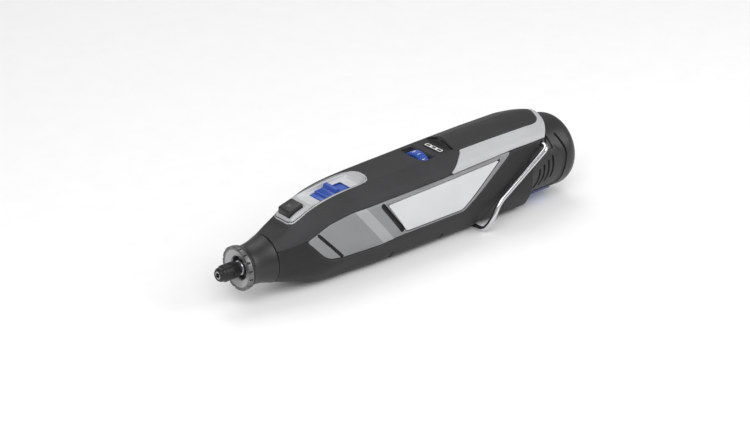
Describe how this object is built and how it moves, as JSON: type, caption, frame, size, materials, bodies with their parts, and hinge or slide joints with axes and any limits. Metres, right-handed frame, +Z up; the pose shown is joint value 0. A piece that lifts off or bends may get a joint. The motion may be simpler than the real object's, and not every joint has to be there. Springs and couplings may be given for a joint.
{
  "type": "rotary hobby tool",
  "caption": "Cordless rotary hobby tool with a collet nose, slide switch, shaft lock, speed wheel, hanging bail and slide-in battery.",
  "frame": {"origin": "middle of the footprint on the surface that the tool's underside rests on", "axes": "+X towards the battery along the spindle, -X towards the collet, -Y to the tool's left side, +Z up through the slide switch"},
  "size_m": [0.25, 0.0546, 0.0579],
  "materials": {
    "grip_rubber": "matt moulded rubber",
    "housing_plastic": "moulded glass-filled nylon",
    "cover_plastic": "fine textured mid grey",
    "light_plastic": "fine textured light grey",
    "badge_plate": "satin silver paint",
    "black_plastic": "satin black",
    "blue_plastic": "satin blue",
    "inner_plastic": "plain black",
    "fan_plastic": "natural nylon",
    "coupling_plastic": "moulded",
    "steel": "ground steel",
    "plated_steel": "nickel plated",
    "black_steel": "black oxide",
    "aluminium": "turned",
    "zinc_can": "zinc plated",
    "magnet": "sintered ferrite",
    "copper": "copper",
    "brass": "plain",
    "carbon": "pressed carbon",
    "board": "glass-epoxy board",
    "clear_window": "milky light pipe",
    "cell_wrap": "shrink wrap"
  },
  "bodies": {
    "housing": {"housing_left": "housing_plastic", "housing_right": "housing_plastic", "grip_left": "grip_rubber", "grip_right": "grip_rubber", "upper_grip": "grip_rubber", "side_cover_left": "cover_plastic", "side_cover_right": "cover_plastic", "badge_left": "badge_plate", "badge_right": "badge_plate", "top_panel": "light_plastic", "rear_band": "light_plastic", "top_inlay": "black_plastic", "housing_screws": "steel", "nose_collar": "aluminium", "bearing_outer_races": "steel", "bearing_balls": "steel", "motor_can": "zinc_can", "motor_bushings": "brass", "motor_magnets": "magnet", "motor_end_cap": "inner_plastic", "brushes": "carbon", "brush_springs": "brass", "lock_spring": "steel", "switch_module": "inner_plastic", "speed_control": "board", "circuit_board": "board", "gauge_leds": "board", "gauge_window": "clear_window", "gauge_frame": "black_plastic", "contact_block": "inner_plastic", "tool_contacts": "brass"},
    "spindle": {"spindle": "steel", "coupling": "coupling_plastic", "fan": "fan_plastic", "bearing_inner_races": "steel", "motor_shaft": "steel", "armature": "steel", "armature_windings": "copper", "commutator": "copper"},
    "collet": {"collet": "steel"},
    "nut": {"collet_nut": "black_steel"},
    "nose_cap": {"nose_cap": "black_plastic"},
    "nose_ring": {"nose_ring": "plated_steel"},
    "lock": {"lock_button": "black_plastic", "lock_pin": "steel"},
    "switch": {"slide_switch": "blue_plastic"},
    "dial": {"speed_dial": "blue_plastic"},
    "bail": {"hanger_bail": "plated_steel"},
    "battery": {"battery_case": "black_plastic", "battery_cap": "black_plastic", "battery_cells": "cell_wrap", "battery_contacts": "brass", "release_spring": "steel"},
    "release": {"battery_release": "blue_plastic"}
  },
  "joints": [
    {"name": "spindle_spin", "type": "hinge", "parent": "housing", "child": "spindle", "pos_m": [0, 0, 0.0225], "axis": [1, 0, 0], "continuous": true},
    {"name": "collet_slide", "type": "slide", "parent": "spindle", "child": "collet", "axis": [-1, 0, 0], "range_m": [0, 0.00127]},
    {"name": "nut_turn", "type": "hinge", "parent": "collet", "child": "nut", "pos_m": [-0.12, 0, 0.0225], "axis": [-1, 0, 0], "range_deg": [0, 720]},
    {"name": "cap_slide", "type": "slide", "parent": "housing", "child": "nose_cap", "axis": [-1, 0, 0], "range_m": [0, 0.01199]},
    {"name": "ring_turn", "type": "hinge", "parent": "nose_cap", "child": "nose_ring", "pos_m": [-0.11, 0, 0.0225], "axis": [-1, 0, 0], "range_deg": [0, 2040]},
    {"name": "lock_press", "type": "slide", "parent": "housing", "child": "lock", "axis": [0, 0, -1], "range_m": [0, 0.003], "stiffness_N_per_m": 600, "springref_m": -0.002, "deforming": ["lock_spring"]},
    {"name": "switch_slide", "type": "slide", "parent": "housing", "child": "switch", "axis": [1, 0, 0], "range_m": [0, 0.005]},
    {"name": "dial_turn", "type": "hinge", "parent": "housing", "child": "dial", "pos_m": [0.0156, 0, 0.0427], "axis": [1, 0, 0], "range_deg": [0, 300]},
    {"name": "bail_swing", "type": "hinge", "parent": "housing", "child": "bail", "pos_m": [0.093, 0, 0.043], "axis": [0, -1, 0], "range_deg": [0, 150]},
    {"name": "battery_slide", "type": "slide", "parent": "housing", "child": "battery", "axis": [1, 0, 0], "range_m": [0, 0.075]},
    {"name": "release_press", "type": "slide", "parent": "battery", "child": "release", "axis": [0, 0, 1], "range_m": [0, 0.0015], "stiffness_N_per_m": 1200, "springref_m": -0.001, "deforming": ["release_spring"]}
  ],
  "couplings": [
    {"joint": "nut_turn", "follows": "collet_slide", "rad_per_m": 9894.7},
    {"joint": "ring_turn", "follows": "cap_slide", "rad_per_m": 2968.4}
  ]
}
